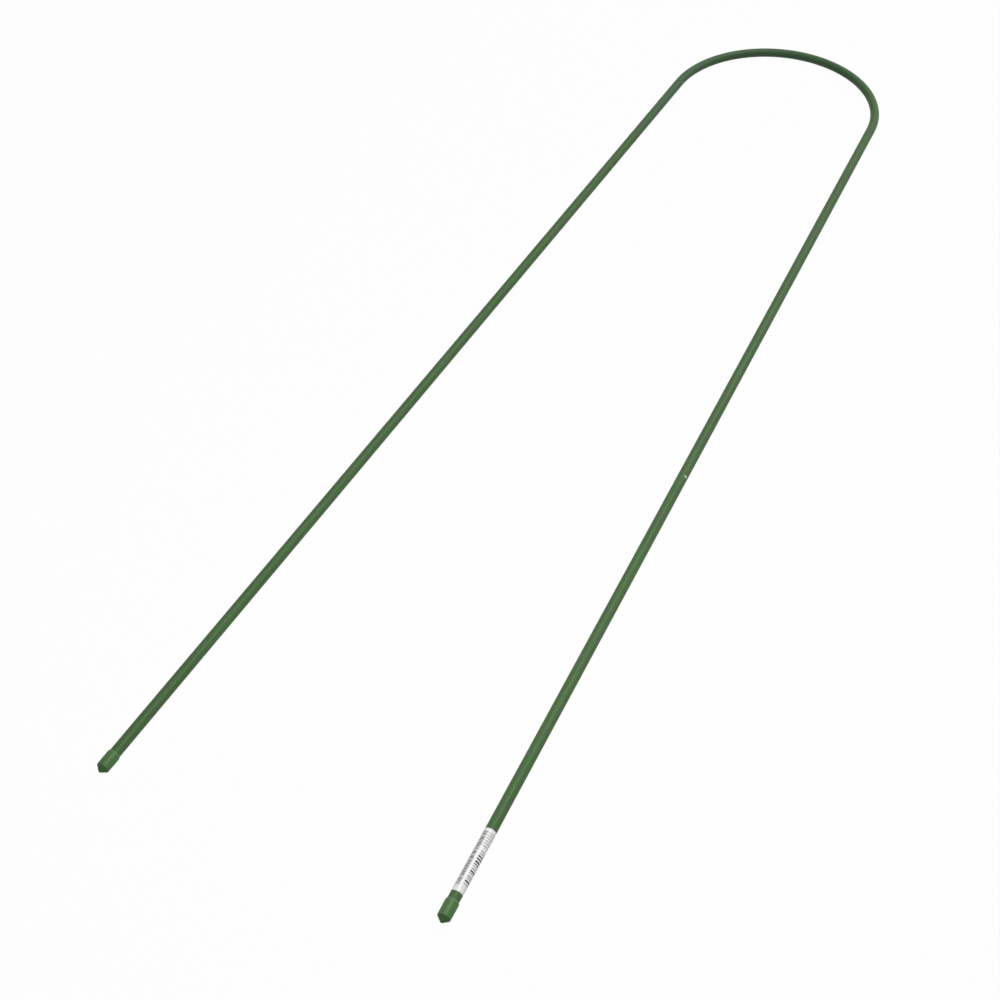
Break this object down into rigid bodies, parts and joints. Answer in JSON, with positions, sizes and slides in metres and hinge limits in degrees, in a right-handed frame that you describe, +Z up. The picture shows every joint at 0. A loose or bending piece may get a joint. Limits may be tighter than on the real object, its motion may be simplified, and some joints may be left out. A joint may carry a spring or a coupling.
{
  "type": "arch plant stake",
  "caption": "Garden hoop stake: a green plastic-coated steel tube bent into an arch with two long splayed legs, a pointed moulded cap on each foot and a label wrapped round one leg.",
  "frame": {"origin": "middle of the bounding box's bottom face, with the stake lying flat", "axes": "+Y from the feet to the top of the arch, +X towards the leg with the label, +Z up off the ground"},
  "size_m": [0.3578, 1.3702, 0.0128],
  "materials": {
    "drawn_steel": "plain drawn and welded steel, hidden under the coating",
    "extruded_polyethylene": "satin mid green with fine lengthwise drawing lines",
    "moulded_polyethylene": "satin green, lighter than the tube, as moulded",
    "label_paper": "white paper with dark grey and black printing"
  },
  "bodies": {
    "root": {"steel_tube": "drawn_steel", "green_coating": "extruded_polyethylene", "foot_cap_left": "moulded_polyethylene", "foot_cap_right": "moulded_polyethylene", "paper_label": "label_paper"}
  },
  "joints": []
}
